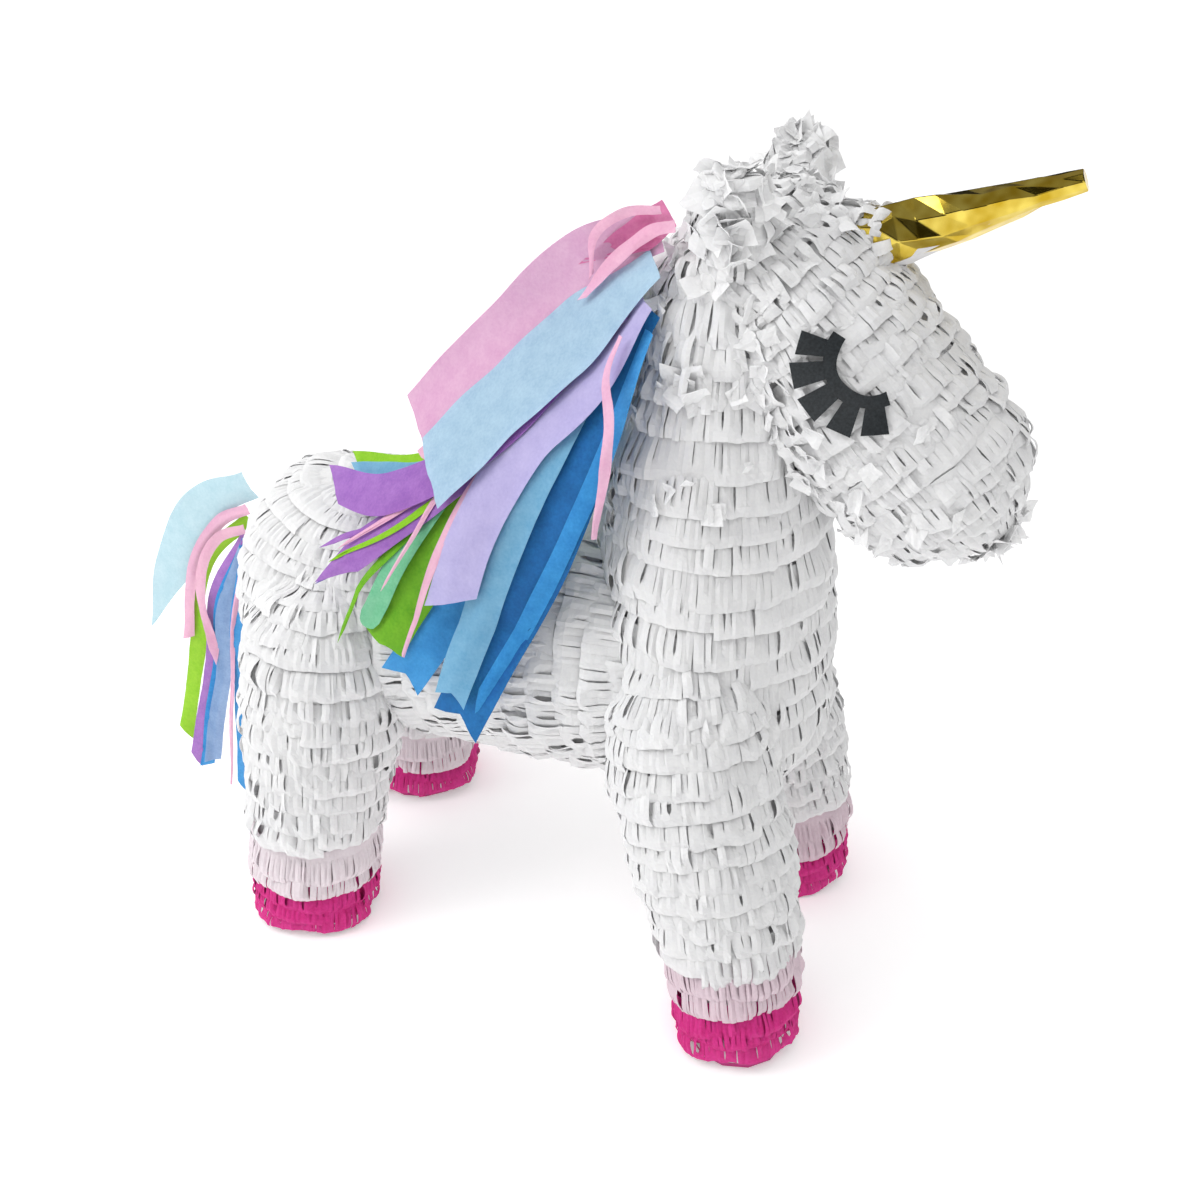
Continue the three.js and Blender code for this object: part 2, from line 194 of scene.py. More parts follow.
def corrugated_card(name, middle, pasted):
    """Corrugated kraft board, rolled from brown pulp: dull, flecked, with the flutes 7 mm apart
    showing faintly through the liner. A sheet of the pasted colour is glued on its outside, which
    is the side that faces away from middle."""
    material, tree, shader = new_material(name, {"Roughness": 0.9, "Specular IOR Level": 0.2})
    texture_place = add_node(tree, "TexCoord").outputs
    where = texture_place["Object"]
    kraft = two_tone(tree, noise(tree, where, 2.5 * MM, 6.0), 0.32, 0.68, 0x9C7445, 0xC49C68)
    away = add_node(tree, "VectorMath", {"operation": "SUBTRACT"}, {0: where, 1: tuple(middle)})
    facing = add_node(
        tree, "VectorMath", {"operation": "DOT_PRODUCT"},
        {0: away.outputs["Vector"], 1: texture_place["Normal"]},
    )
    outside = add_node(
        tree, "Math", {"operation": "GREATER_THAN"}, {0: facing.outputs["Value"], 1: 8 * MM}
    )
    lined = add_node(
        tree, "Mix", {"data_type": "RGBA"},
        {"Factor": outside.outputs["Value"], 6: kraft, 7: linear(pasted)},
    )
    tree.links.new(lined.outputs[2], shader.inputs["Base Color"])
    flutes = add_node(
        tree, "TexWave", {"bands_direction": "Z"},
        {"Vector": where, "Scale": 2 * math.pi / (WAVE_RATE * FLUTE), "Distortion": 0.4, "Detail": 1.0},
    )
    tree.links.new(bump(tree, flutes.outputs["Fac"], 0.4, 0.5 * MM), shader.inputs["Normal"])
    return material


WHITE = tissue_paper("white_tissue_paper", 0xE8E8EA, 0xF6F6F5)
PALE_PINK = tissue_paper("pale_pink_tissue_paper", 0xDCC4CF, 0xEAD5DE)
PALER_PINK = tissue_paper("palest_pink_tissue_paper", 0xE8DBE1, 0xF4E9EE)
MAGENTA = tissue_paper("magenta_tissue_paper", 0xC2166C, 0xE63A94)
GOLD = gold_foil()
BLACK = black_paper()

# ---- the covered forms
ROUND = 72  # points round a form
STEP = 4 * MM  # between a form's rings
CAP_STEP = math.radians(4)
LOBES = 7  # a ring keeps only this many waves round it
FAR = 0.4  # rays start this far out


class Form:
    """The outer face of a covered form, felt from outside at points round a middle line from
    start to end. round_start and round_end carry the rings on over that end, to a pole."""

    def __init__(self, covers, start, end, zero_angle, round_start=False, round_end=False):
        start, end = np.array(start), np.array(end)
        run = end - start
        length = np.linalg.norm(run)
        self.along = run / length
        side = np.array(zero_angle, float)
        side -= self.along * (side @ self.along)
        self.side = side / np.linalg.norm(side)
        self.turn = np.cross(self.along, self.side)
        middle = [(start + run * share, 0.0) for share in np.linspace(0, 1, max(2, round(length / STEP)))]
        tilts = np.arange(math.radians(86), 0, -CAP_STEP)
        before = [(start, -tilt) for tilt in tilts] if round_start else []
        after = [(end, tilt) for tilt in tilts[::-1]] if round_end else []
        self.rings = before + middle + after
        self.pole_start = round_start
        self.feel(covers)

    def feel(self, covers):
        points, faces = [], []
        for cover in covers:
            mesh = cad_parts[cover].data
            first = len(points)
            points += [v.co for v in mesh.vertices]
            faces += [[first + i for i in p.vertices] for p in mesh.polygons]
        tree = BVHTree.FromPolygons(points, faces)
        angles = np.arange(ROUND) / ROUND * 2 * math.pi
        count = len(self.rings)
        reach = np.zeros((count, ROUND))
        found = np.zeros((count, ROUND), bool)
        outward = np.zeros((count, ROUND, 3))
        base = np.array([b for b, _ in self.rings])
        for i, (b, tilt) in enumerate(self.rings):
            for j, angle in enumerate(angles):
                flat = self.side * math.cos(angle) + self.turn * math.sin(angle)
                way = flat * math.cos(tilt) + self.along * math.sin(tilt)
                outward[i, j] = way
                hit, normal, _, distance = tree.ray_cast(Vector(b + way * FAR), Vector(-way), FAR)
                if hit is not None and normal.dot(Vector(way)) > 0.05:
                    reach[i, j] = FAR - distance
                    found[i, j] = True
        self.found = found
        reach[~found] = np.median(reach[found])
        for _ in range(300):
            round_it = np.roll(reach, 1, 1) + np.roll(reach, -1, 1)
            near = (round_it + self.shifted(reach, 1) + self.shifted(reach, -1)) / 4
            reach[~found] = near[~found]
        waves = np.fft.rfft(reach, axis=1)
        waves[:, LOBES:] = 0
        reach = np.fft.irfft(waves, ROUND, axis=1)
        for _ in range(4):
            reach = (self.shifted(reach, 1) + 2 * reach + self.shifted(reach, -1)) / 4
        self.points = base[:, None] + outward * reach[..., None]
        down = np.gradient(self.points, axis=0)
        across = np.roll(self.points, -1, 1) - np.roll(self.points, 1, 1)
        normals = np.cross(across, down)
        facing = np.sign((normals * outward).sum(2, keepdims=True))
        self.normals = normals * facing / np.maximum(np.linalg.norm(normals, axis=2, keepdims=True), 1e-12)
        steps = np.linalg.norm(np.diff(self.points, axis=0), axis=2).mean(1)
        self.fall = np.concatenate([[0], np.cumsum(steps)])

    @staticmethod
    def shifted(table, by):
        return np.concatenate([table[:1], table[:-1]]) if by > 0 else np.concatenate([table[1:], table[-1:]])

    def read(self, table, fall, angle):
        """The table's value at these distances down the form and angles round it."""
        i = np.clip(np.interp(fall, self.fall, np.arange(len(self.fall))), 0, len(self.fall) - 1.001)
        j = np.mod(angle / (2 * math.pi) * ROUND, ROUND)
        i0, j0 = np.floor(i).astype(int), np.floor(j).astype(int) % ROUND
        di, dj = i - i0, j - np.floor(j)
        j1 = (j0 + 1) % ROUND
        if table.ndim == 3:
            di, dj = di[..., None], dj[..., None]
        upper = table[i0, j0] * (1 - dj) + table[i0, j1] * dj
        lower = table[i0 + 1, j0] * (1 - dj) + table[i0 + 1, j1] * dj
        return upper * (1 - di) + lower * di

    def at(self, fall, angle, out=0.0):
        """Places on the form, or this far out from it."""
        p = self.read(self.points, fall, angle)
        n = self.read(self.normals, fall, angle)
        beyond = np.minimum(fall, 0) + np.maximum(fall - self.fall[-1], 0)
        return p + n * np.asarray(out)[..., None] + self.along * beyond[..., None]

    def covered(self, fall, angle):
        return self.read(self.found.astype(float), fall, angle) > 0.4


def ripple(seed, count=7):
    """A smooth random surface over two lengths given in units of its own wave, about -1 to 1."""
    rng = np.random.default_rng(seed)
    way = rng.uniform(0, 2 * math.pi, count)
    pace = rng.uniform(0.5, 1.6, count)
    phase = rng.uniform(0, 2 * math.pi, count)

    def height(x, y):
        total = 0.0
        for w, p, f in zip(way, pace, phase):
            total = total + np.sin(2 * math.pi * p * (x * math.cos(w) + y * math.sin(w)) + f)
        return total * math.sqrt(2 / count) / 1.6

    return height


# ---- fringe
# A row is a strip of tissue, slit across its middle. It is pasted down by its upper edge, and
# its uncut lower edge stands a little off the row beneath.
LEVELS = np.array([0.0, 0.26, 0.42, 0.54, 0.64, 0.73, 0.82, 0.92, 1.0])
SLIT_TOP = 1  # the level at which slits start
REACH = 1.95  # a strip's width, in rows
STAND_T = np.array([0.0, 0.26, 0.45, 0.62, 0.86, 1.0])
STAND_OUT = np.array([0.2, 0.8, 1.8, 2.9, 4.3, 3.1]) * MM
SINK = 4.4 * MM  # the roots lie this far inside the form's outer face
SUNK_OVER = 50 * MM  # rows that are sunk deeper come level again over this length
TISSUE = 0.22 * MM
TOOTH = 5 * MM
POLE_RING = 2 * MM  # strips stop this far from a form's pole
OVER_FLOOR = 0.7 * MM  # no tissue hangs lower than this
COVER_LINE = 0.45  # a row is kept where the form is covered this many rows above its edge
ARC_LINE = 0.4  # and its length is measured this many rows above its edge
SHORTEST = 12 * MM  # a length of tissue shorter than this is not pasted on
# lengths over which the paper is uneven
PATCH_DOWN, PATCH_ACROSS = 50 * MM, 120 * MM
LUMP_DOWN, LUMP_ACROSS = 50 * MM, 55 * MM
EDGE_WAVE, CREASE = 45 * MM, 16 * MM
CRINKLE_ACROSS, CRINKLE_DOWN = 11 * MM, 20 * MM


def deselect_all():
    for o in bpy.context.selected_objects:
        o.select_set(False)


def choose(obj):
    deselect_all()
    obj.select_set(True)
    bpy.context.view_layer.objects.active = obj


def edit(obj):
    choose(obj)
    bpy.ops.object.mode_set(mode="EDIT")


def object_mode():
    bpy.ops.object.mode_set(mode="OBJECT")


def flat_sheet(name, columns, rows):
    """A flat square, 1 m wide, of columns by rows faces."""
    deselect_all()
    bpy.ops.mesh.primitive_grid_add(x_subdivisions=columns, y_subdivisions=rows, size=1)
    sheet = bpy.context.object
    sheet.name = name
    sheet.data.name = name
    return sheet


def apply_modifier(obj, modifier):
    choose(obj)
    bpy.ops.object.modifier_apply(modifier=modifier.name)


def coordinates(mesh):
    co = np.zeros(len(mesh.vertices) * 3, np.float32)
    mesh.vertices.foreach_get("co", co)
    return co.reshape(-1, 3).astype(float)


def move_points(mesh, co):
    mesh.vertices.foreach_set("co", co.astype(np.float32).ravel())
    mesh.update()


def slit_strip(name, columns, levels, cuts):
    """A flat strip of columns by levels faces, cut along the column edges that cuts lists as
    (column, first level, last level). Gives the object, each point's column and level, and which
    side of its cut it is on, from -1 to 1."""
    strip = flat_sheet(name, columns, levels)

    def measure():
        co = coordinates(strip.data)
        column = np.rint((co[:, 0] + 0.5) * columns).astype(int)
        return co, column, np.rint((0.5 - co[:, 1]) * levels).astype(int)

    mesh = strip.data
    _, column, level = measure()
    first = np.full(columns + 1, 99)
    last = np.full(columns + 1, -1)
    for c, a, b in cuts:
        first[c], last[c] = a, b
    ends = np.zeros(len(mesh.edges) * 2, np.int32)
    mesh.edges.foreach_get("vertices", ends)
    a, b = ends.reshape(-1, 2).T
    upright = column[a] == column[b]
    low, high = np.minimum(level[a], level[b]), np.maximum(level[a], level[b])
    chosen = upright & (low >= first[column[a]]) & (high <= last[column[a]])
    for part in (mesh.vertices, mesh.edges, mesh.polygons):
        part.foreach_set("select", np.zeros(len(part), bool))
    bpy.context.tool_settings.mesh_select_mode = (False, True, False)
    mesh.edges.foreach_set("select", chosen)
    edit(strip)
    bpy.ops.mesh.edge_split(type="EDGE")
    object_mode()
    mesh = strip.data
    co, column, level = measure()
    corners = np.zeros(len(mesh.loops), np.int32)
    mesh.loops.foreach_get("vertex_index", corners)
    middles = np.zeros(len(mesh.polygons) * 3, np.float32)
    mesh.polygons.foreach_get("center", middles)
    middles = np.repeat(middles.reshape(-1, 3)[:, 0], 4)
    total, number = np.zeros(len(co)), np.zeros(len(co))
    np.add.at(total, corners, middles)
    np.add.at(number, corners, 1)
    side = (total / number - co[:, 0]) * columns * 2
    return strip, column, level, np.clip(np.rint(side), -1, 1)


def give_thickness(obj, thickness):
    solidify = obj.modifiers.new("tissue", "SOLIDIFY")
    solidify.thickness = thickness
    solidify.offset = 0
    solidify.use_even_offset = False
    apply_modifier(obj, solidify)


def rows_on(form, first, last, pitch, keep=None, seam=math.pi, rng=None, jitter=0.08):
    """The rows of one form where it is covered: (fall of the lower edge, first and last angle)."""
    rows = []
    dense = np.linspace(0, 2 * math.pi, 361)[:-1]
    for k in range(int(round((last - first) / pitch)) + 1):
        fall = first + k * pitch + (rng.uniform(-jitter, jitter) * pitch if rng is not None else 0)
        middle = np.full(dense.shape, np.clip(fall - COVER_LINE * pitch, 0, form.fall[-1] * 0.999))
        good = form.covered(middle, dense + seam)
        if keep is not None:
            good &= keep(form.at(middle, dense + seam))
        if good.all():
            rows.append((fall, seam, seam + 2 * math.pi))
            continue
        if not good.any():
            continue
        turned = np.argmin(good)
        good = np.roll(good, -turned)
        angle = np.unwrap(np.roll(dense + seam, -turned))
        starts = np.flatnonzero(good & ~np.roll(good, 1))
        ends = np.flatnonzero(good & ~np.roll(good, -1))
        for s, e in zip(starts, ends):
            if e - s >= 4:
                rows.append((fall, angle[s], angle[e]))
    return rows


def run_length(points):
    """How far along a line each of its points is."""
    return np.concatenate([[0], np.cumsum(np.linalg.norm(np.diff(points, axis=0), axis=1))])


def measured(form, fall, pitch, a0, a1):
    """Angles along a row from a0 to a1, and how far along it each one is."""
    dense = np.linspace(a0, a1, 200)
    return dense, run_length(form.at(np.full(200, np.clip(fall - ARC_LINE * pitch, 0, form.fall[-1])), dense))


def in_lengths(form, rows, pitch, seed, short=50 * MM, long=140 * MM, uneven=0.11):
    """The rows cut into the lengths that were pasted one after another, none quite in line."""
    rng = np.random.default_rng(seed)
    pieces = []
    for fall, a0, a1 in rows:
        dense, arc = measured(form, fall, pitch, a0, a1)
        here = 0.0
        while here < arc[-1] - SHORTEST:
            there = min(here + rng.uniform(short, long), arc[-1])
            if arc[-1] - there < short * 0.6:
                there = arc[-1]
            first, last = np.interp([here, there], arc, dense)
            pieces.append((fall + rng.normal(0, uneven) * pitch, first, last))
            here = there
    return pieces


def fringe(name, form, rows, pitch, tooth, seed, ragged=0.25, over=1.5 * MM, loose=0.0, lift=1.0,
           reach=REACH, sunk=0.0):
    """Rows of slit tissue on a form. ragged is a number or a function of place, from 0, neat, to 1;
    over is how far a row runs on past its ends; loose is the share of slits cut right through;
    lift scales how far the tissue stands off; sunk is how much deeper the form's first rows lie."""
    rng = np.random.default_rng(seed)
    lumps, waves, sways = ripple(seed + 1), ripple(seed + 2), ripple(seed + 3)
    left, right, row_of, arcs, angles = [], [], [], [], []
    offset = 0.0
    for r, (fall, a0, a1) in enumerate(rows):
        dense, arc = measured(form, fall, pitch, a0 - 0.25, a1 + 0.25)
        s0, s1 = np.interp([a0, a1], dense, arc)
        s0, s1 = s0 - over, s1 + over
        count = max(2, int(round((s1 - s0) / tooth)))
        widths = rng.uniform(0.75, 1.25, count)
        edges = s0 + np.concatenate([[0], np.cumsum(widths / widths.sum())]) * (s1 - s0)
        left.append(edges[:-1] + offset)
        right.append(edges[1:] + offset)
        row_of.append(np.full(count, r))
        arcs.append(arc + offset)
        angles.append(dense)
        offset += arc[-1] + 50 * MM
    left, right, row_of = np.concatenate(left), np.concatenate(right), np.concatenate(row_of)
    arcs, angles = np.concatenate(arcs), np.concatenate(angles)
    teeth = len(left)
    fall_of = np.array([r[0] for r in rows])
    width_of = np.full(len(rows), reach * pitch)
    if form.pole_start:
        width_of = np.minimum(width_of, fall_of - POLE_RING)
    levels = len(LEVELS) - 1

    mid_angle = np.interp((left + right) / 2, arcs, angles)
    mid_fall = fall_of[row_of]
    mid_place = form.at(mid_fall, mid_angle)
    wild = ragged(mid_place) if callable(ragged) else np.full(teeth, float(ragged))
    wild = np.clip(wild * (1 + 0.6 * lumps(mid_fall / PATCH_DOWN, (left + right) / PATCH_ACROSS)), 0, 1)

    # slits: most stop short of the lower edge, some run through, and a few are missing
    cuts = []
    through = rng.random(teeth) < loose + 0.6 * wild ** 1.5
    deep = rng.integers(5, 8, teeth)
    missing = rng.random(teeth) < 0.10
    for k in range(1, teeth):
        if row_of[k] != row_of[k - 1]:
            cuts.append((2 * k, 0, levels))
        elif through[k]:
            cuts.append((2 * k, SLIT_TOP, levels))
        elif not missing[k]:
            cuts.append((2 * k, SLIT_TOP, deep[k]))
    strip, column, level, side = slit_strip(name, 2 * teeth, levels, cuts)
    slit_end = np.zeros(teeth + 1)
    for c, _, b in cuts:
        slit_end[c // 2] = LEVELS[b]

    puffed = rng.random(teeth) < 0.05 + 0.38 * wild
    twisted = rng.random(teeth) < 0.05 + 0.38 * wild
    puff = rng.normal(0, 0.22, teeth) * MM + puffed * rng.uniform(0.8, 3.4, teeth) * MM * (0.4 + wild)
    twist = rng.normal(0, 0.30, teeth) * MM + twisted * rng.uniform(-2.2, 2.2, teeth) * MM
    sway = rng.normal(0, 0.2, teeth) * MM + twisted * rng.uniform(-1.5, 1.5, teeth) * MM
    drop = rng.normal(0, 0.12, teeth) * MM + wild * rng.normal(0, 1.0, teeth) * MM
    press = rng.uniform(0.1, 0.5, teeth) * MM
    rest = rng.normal(0, 0.26, teeth) * MM * (1 + 1.5 * wild)
    stray = rng.normal(0, 1.3, teeth) * MM * wild
    gap = rng.uniform(0.03, 0.24, teeth + 1) * MM + (rng.random(teeth + 1) < 0.07) * 0.4 * MM
    row_lift = rng.uniform(-0.5, 0.7, len(rows)) * MM
    row_slope = rng.normal(0, 0.022, len(rows))
    row_middle = np.array([
        (left[row_of == r].min() + right[row_of == r].max()) / 2 for r in range(len(rows))
    ])

    def local(k, s):
        """Fall, arc and stand-off of each point, for tooth k and side s of it."""
        t = LEVELS[level]
        row = row_of[k]
        bound = np.clip(np.where(s < 0, k, k + 1), 0, teeth)
        end = np.maximum(slit_end[bound], 0.3)
        opening = np.sin(math.pi * np.clip((t - LEVELS[SLIT_TOP]) / (end - LEVELS[SLIT_TOP]), 0, 1))
        width = right[k] - left[k]
        middle = (left[k] + right[k]) / 2
        free = np.sin(math.pi * np.clip((t - 0.2) / 0.72, 0, 1))
        arc = middle + s * (width / 2 - gap[bound] / 2 * opening) + sway[k] * free + stray[k] * t * t
        fall = fall_of[row] - width_of[row] * (1 - t) + row_slope[row] * (arc - row_middle[row])
        fall = fall + 1.0 * MM * waves(arc / EDGE_WAVE, row * 1.7) + drop[k] * t * t
        out = np.interp(t, STAND_T, STAND_OUT) * lift - SINK
        out = out + row_lift[row] + 1.3 * MM * lumps(fall / LUMP_DOWN, arc / LUMP_ACROSS)
        out = out + puff[k] * free + twist[k] * s * free
        crinkled = 1.3 * MM * sways(arc / CRINKLE_ACROSS, fall / CRINKLE_DOWN)
        creased = 1.0 * MM * (1 - 2 * np.abs(sways(arc / CREASE, fall / CREASE)))
        out = out + wild[k] * (crinkled + creased) * t
        out = out + rest[k] * t - sunk * np.clip(1 - fall / SUNK_OVER, 0, 1)
        # a tooth's middle bows out over its two cut edges
        out = out + np.where(s == 0, 0.5 * MM * opening + press[k] * t, 0)
        return fall, arc, out

    # even columns are the bounds between teeth, where two teeth meet, and odd ones are their middles
    even = column % 2 == 0
    k_left = np.clip(column // 2 - 1, 0, teeth - 1)
    k_right = np.clip(column // 2, 0, teeth - 1)
    ka = np.where(even & (side <= 0) & (column > 0), k_left, k_right)
    sa = np.where(even, np.where((side <= 0) & (column > 0), 1, -1), 0)
    kb = np.where(even & (side >= 0) & (column < 2 * teeth), k_right, np.where(even, k_left, k_right))
    sb = np.where(even, np.where((side >= 0) & (column < 2 * teeth), -1, 1), 0)
    fall, arc, out = [(x + y) / 2 for x, y in zip(local(ka, sa), local(kb, sb))]
    points = form.at(fall, np.interp(arc, arcs, angles), out=out)
    points[:, 2] = np.maximum(points[:, 2], OVER_FLOOR)
    move_points(strip.data, points)
    give_thickness(strip, TISSUE)
    return strip


def scraps(name, form, number, size, seed, low, high, keep=None):
    """Crumpled squares of tissue, stuck on a form by the middle, between these two falls."""
    rng = np.random.default_rng(seed)
    strip, column, level, side = slit_strip(name, 4 * number, 4, [(4 * k, 0, 4) for k in range(1, number)])
    piece = np.where((column % 4 == 0) & (side < 0), column // 4 - 1, column // 4)
    piece = np.clip(piece, 0, number - 1)
    u, v = (column - 4 * piece) / 4 - 0.5, level / 4 - 0.5
    fall = rng.uniform(low, high, number)
    angle = rng.uniform(0, 2 * math.pi, number)
    if keep is not None:
        for _ in range(40):
            poor = ~keep(form.at(fall, angle))
            fall[poor] = rng.uniform(low, high, poor.sum())
            angle[poor] = rng.uniform(0, 2 * math.pi, poor.sum())
    centre = form.at(fall, angle)
    outward = form.at(fall, angle, out=MM) - centre
    outward /= np.linalg.norm(outward, axis=1, keepdims=True)
    down = form.at(fall + MM, angle) - form.at(fall - MM, angle)
    down -= outward * (down * outward).sum(1)[:, None]
    down /= np.linalg.norm(down, axis=1, keepdims=True) + 1e-9
    along = np.cross(outward, down)
    turn, lean = rng.uniform(0, 6.28, number), rng.uniform(0.1, 0.9, number)
    roll = rng.normal(0, 0.35, number)
    wide, tall = size * rng.uniform(0.7, 1.25, number), size * rng.uniform(0.6, 1.1, number)
    bend, twist = rng.uniform(-1.4, 1.4, number), rng.normal(0, 0.8, number)
    a, b = u * wide[piece], v * tall[piece]
    x = a * np.cos(turn[piece]) - b * np.sin(turn[piece])
    y = a * np.sin(turn[piece]) + b * np.cos(turn[piece])
    out = lean[piece] * b + roll[piece] * a
    out = out + size * (bend[piece] * (v * v - 0.08) + twist[piece] * u * v * 0.8)
    out = out + rng.normal(0, 0.05, len(u)) * size + rng.uniform(-1.5, 1.5, number)[piece] * MM
    out = np.maximum(out + 0.5 * MM, -2.5 * MM)
    axes = (along[piece], down[piece], outward[piece])
    move_points(strip.data, centre[piece] + sum(d[:, None] * axis for d, axis in zip((x, y, out), axes)))
    give_thickness(strip, TISSUE)
    return strip


def join(name, objects):
    """One piece out of several, under this name."""
    choose(objects[0])
    for o in objects:
        o.select_set(True)
    bpy.ops.object.join()
    objects[0].name = name
    objects[0].data.name = name
    return objects[0]


def dress(obj, material, slot, *replaced, body="body", smooth=False):
    """Gives a finished piece its paper, its body and the solids it stands for; slot is not used."""
    obj.data.materials.clear()
    obj.data.materials.append(material)
    obj.data.polygons.foreach_set("use_smooth", np.full(len(obj.data.polygons), smooth))
    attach(obj, body)
    if replaced:
        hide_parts(*replaced)


def dress_white(obj, *replaced, body="body"):
    dress(obj, WHITE, "white_tissue", *replaced, body=body)


# ---- body
FLAP_X, FLAP_Z = (-71, 11), (187, 253)
BARREL_FRONT, BARREL_BACK = 96, -112
BODY_ROW, RUMP_ROW = 16.4 * MM, 15 * MM
RUMP_FRONT = -88  # where the rump's level rows give way to the barrel's hoops


def part_x(points):
    """How far ahead of the part's zero, in millimetres."""
    return (points[..., 0] - ZERO.x) / MM


def part_z(points):
    """How far above the floor, in millimetres."""
    return points[..., 2] / MM


def in_door(points):
    x, z = part_x(points), part_z(points)
    return (points[..., 1] > ZERO.y) & (x > FLAP_X[0]) & (x < FLAP_X[1]) & (z > FLAP_Z[0]) & (z < FLAP_Z[1])


def rump_wildness(p):
    """The rows are neat over the barrel and wilder at the back."""
    return 0.12 + 0.3 * np.clip((-170 - part_x(p)) / 25, 0, 1)


covers = ("body_fringe", "fill_flap_fringe")
barrel = Form(covers, place(BARREL_FRONT, 0, BARREL_Z), place(BARREL_BACK, 0, BARREL_Z), (0, 0, 1))
# one row's edge is at the flap's front side, four rows down the form
first_edge = np.interp(BARREL_FRONT - FLAP_X[1], [0, BARREL_FRONT - BARREL_BACK], [0, barrel.fall[-1]])
first_edge = float(first_edge) - 4 * BODY_ROW
hoops = rows_on(
    barrel, first_edge, barrel.fall[-1], BODY_ROW, lambda p: (part_x(p) > RUMP_FRONT) & ~in_door(p)
)
rump = Form(covers, place(-116, 0, 204), place(-116, 0, 198), (-1, 0, 0), True, True)
level_rows = rows_on(
    rump, 14 * MM, rump.fall[-1] - 8 * MM, RUMP_ROW, lambda p: part_x(p) < RUMP_FRONT + 10,
    rng=np.random.default_rng(3),
)
hoops = in_lengths(barrel, hoops, BODY_ROW, 10, 70 * MM, 200 * MM, 0.05)
level_rows = in_lengths(rump, level_rows, RUMP_ROW, 14)
dress_white(
    join("body_tissue_fringe", [
        fringe("hoops", barrel, hoops, BODY_ROW, TOOTH, 11, ragged=0.4, loose=0.05),
        fringe("rump_rows", rump, level_rows, RUMP_ROW, TOOTH, 12, ragged=rump_wildness, loose=0.02),
    ]),
    "body_fringe",
)
door_rows = rows_on(barrel, first_edge, barrel.fall[-1], BODY_ROW, in_door)
dress_white(
    fringe("flap_tissue_fringe", barrel, door_rows, BODY_ROW, 5.6 * MM, 13, ragged=0.3, over=0),
    "fill_flap_fringe", body="fill_flap",
)

# ---- neck and head
NECK_ROW = 17 * MM
neck = Form(("neck_fringe",), place(106, 0, 432), place(104, 0, 160), (1, 0, 0), True, True)
neck_rows = rows_on(neck, 20 * MM, neck.fall[-1], NECK_ROW, rng=np.random.default_rng(5))


def neck_wildness(p):
    """Wilder high up and behind, under the mane."""
    high = np.clip((part_z(p) - 330) / 60, 0, 1)
    behind = np.clip((95 - part_x(p)) / 40, 0, 1)
    return 0.25 + 0.65 * high + 0.4 * behind


neck_rows = in_lengths(neck, neck_rows, NECK_ROW, 22)
dress_white(
    join("neck_tissue_fringe", [
        fringe("neck_rows", neck, neck_rows, NECK_ROW, TOOTH, 21, ragged=neck_wildness, loose=0.05),
        scraps(
            "neck_scraps", neck, 150, 12 * MM, 23, 14 * MM, 0.6 * neck.fall[-1],
            lambda p: part_z(p) > 315,
        ),
    ]),
    "neck_fringe",
)

HEAD_ROW = 11 * MM
PITCH = math.radians(30)
FORWARD = np.array((math.cos(PITCH), 0, -math.sin(PITCH)))
HEAD_UP = np.array((math.sin(PITCH), 0, math.cos(PITCH)))


def on_head(along, above):
    """A point of the head's middle plane, by millimetres along its middle line and above it."""
    return place(120, 0, 430) + (FORWARD * along + HEAD_UP * above) * MM


head = Form(("head_fringe",), on_head(15, -4), on_head(128, -33), HEAD_UP, True, True)
head_rows = rows_on(head, 16 * MM, head.fall[-1] - 2 * MM, HEAD_ROW, rng=np.random.default_rng(6))


def patchy(p):
    """A quick ripple over the head, from 0 to 1, that breaks up an edge."""
    return 0.5 + 0.5 * np.sin(part_x(p) * 0.9 + part_z(p) * 0.7 + p[..., 1] / MM * 0.8)


def head_wildness(p):
    """Wilder over the crown than along the face."""
    return 0.36 + 0.64 * np.clip((185 - part_x(p)) / 50, 0, 1)


def on_crown(p):
    """Behind the face, and clear of the eye."""
    clear_of_eye = np.hypot(part_x(p) - 187, part_z(p) - 410) > 46
    return clear_of_eye & (part_x(p) < 182 + 60 * patchy(p))


head_rows = in_lengths(head, head_rows, HEAD_ROW, 32, 40 * MM, 100 * MM)
muzzle = head.fall[-1]
dress_white(
    join("head_tissue_fringe", [
        fringe(
            "head_rows", head, head_rows, HEAD_ROW, 4.8 * MM, 31, ragged=head_wildness, loose=0.08, lift=0.85
        ),
        scraps("head_scraps", head, 170, 10 * MM, 33, 12 * MM, 0.95 * muzzle, on_crown),
        scraps("muzzle_scraps", head, 34, 11 * MM, 35, muzzle - 18 * MM, muzzle - 1 * MM),
    ]),
    "head_fringe",
)

# ---- legs
LEG_ROW = 14 * MM
BAND_TOP, HOOF_TOP, HOOF_EDGE = 58, 34, 18
SOLE = 3


